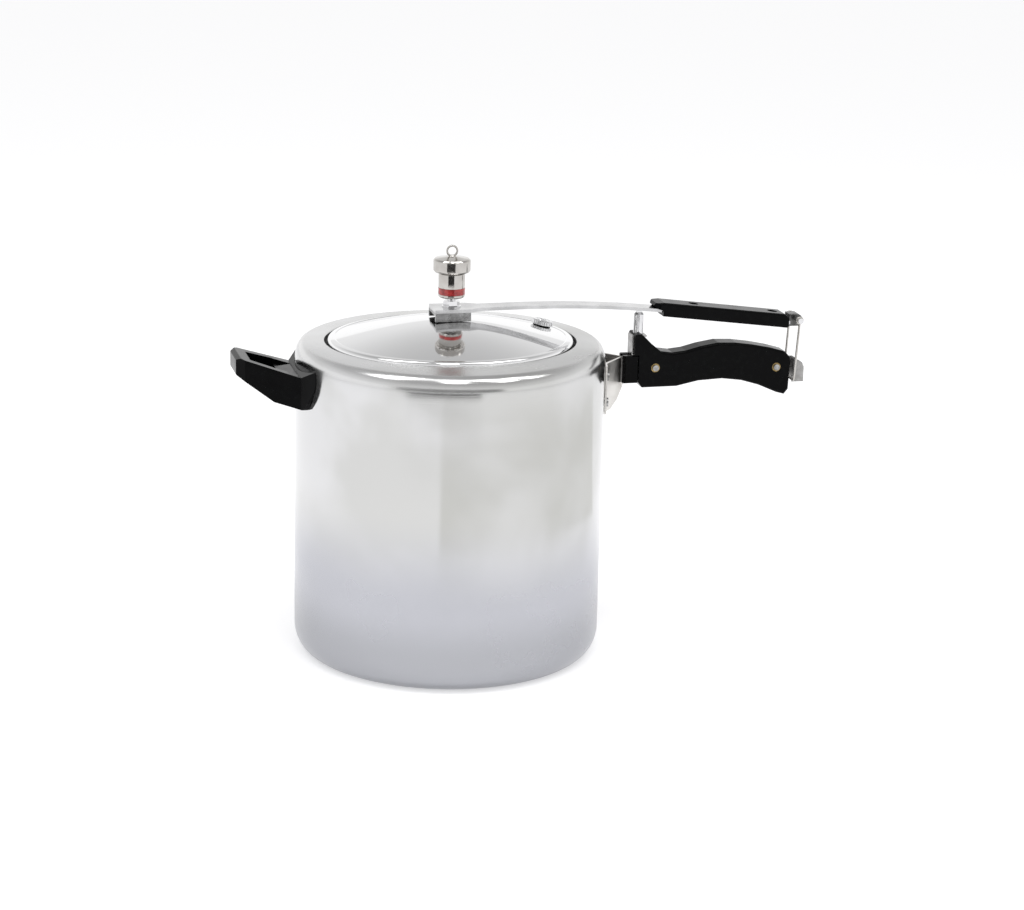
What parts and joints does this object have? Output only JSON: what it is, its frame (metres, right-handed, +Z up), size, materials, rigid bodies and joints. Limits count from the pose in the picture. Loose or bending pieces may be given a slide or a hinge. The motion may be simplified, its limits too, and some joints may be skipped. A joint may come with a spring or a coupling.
{
  "type": "pressure canner",
  "caption": "Tall aluminium pressure pot with an inner oval lid on a lever bar, a lift-off vent weight, a long handle with a wire lock and a helper handle.",
  "frame": {"origin": "on the pot's axis, on the flat underside it stands on", "axes": "+X along the main handle away from the pot, +Z up along the pot's axis"},
  "size_m": [0.5326, 0.28, 0.3743],
  "materials": {
    "pot_aluminium": "polished outside with fine turning marks",
    "lid_aluminium": "mirror polished",
    "steel_sheet": "pressed sheet, bright",
    "chrome_steel": "nickel or chrome plated",
    "zinc_steel": "plated, plain",
    "brass": "satin",
    "fusible_alloy": "dull tin alloy",
    "black_bakelite": "moulded phenolic, glossy",
    "black_rubber": "matt",
    "red_band": "enamel red"
  },
  "bodies": {
    "pot": {"pot_body": "pot_aluminium", "bracket_rivets": "zinc_steel", "bracket_wing_near": "steel_sheet", "bracket_wing_far": "steel_sheet", "handle_tang": "steel_sheet", "heat_guard_cheeks": "black_bakelite", "neck_rivet": "zinc_steel", "fulcrum_post": "chrome_steel", "post_tab": "steel_sheet", "body_handle_grip": "black_bakelite", "handle_bolts": "zinc_steel", "handle_nuts": "zinc_steel", "handle_washers": "brass", "helper_handle": "black_bakelite", "helper_plate": "steel_sheet", "helper_screw": "zinc_steel", "helper_nut": "zinc_steel"},
    "lid": {"lid_plate": "lid_aluminium", "lid_gasket": "black_rubber", "safety_valve_body": "chrome_steel", "safety_valve_plug": "fusible_alloy", "safety_valve_seal": "black_rubber", "safety_valve_nut": "chrome_steel", "lid_bridge": "chrome_steel", "lid_bar": "chrome_steel", "vent_stem": "chrome_steel", "vent_stem_seal": "black_rubber", "vent_washer": "chrome_steel", "vent_nut": "chrome_steel", "lid_handle": "black_bakelite", "lid_handle_screws": "zinc_steel", "lid_handle_nuts": "zinc_steel", "bar_end_lug": "steel_sheet", "loop_pin": "chrome_steel"},
    "weight": {"weight_body": "chrome_steel", "weight_cap": "chrome_steel", "weight_band": "red_band", "weight_ring": "chrome_steel"},
    "loop": {"locking_loop": "chrome_steel", "loop_thumb_tab": "steel_sheet"}
  },
  "joints": [
    {"name": "lid_lever", "type": "hinge", "parent": "pot", "child": "lid", "pos_m": [0.176, 0, 0.3075], "axis": [0, -1, 0], "range_deg": [0, 3.5]},
    {"name": "loop_swing", "type": "hinge", "parent": "lid", "child": "loop", "pos_m": [0.3276, 0, 0.2975], "axis": [0, -1, 0], "range_deg": [0, 110]},
    {"name": "weight_lift", "type": "slide", "parent": "lid", "child": "weight", "axis": [0, 0, 1], "range_m": [0, 0.03]}
  ]
}
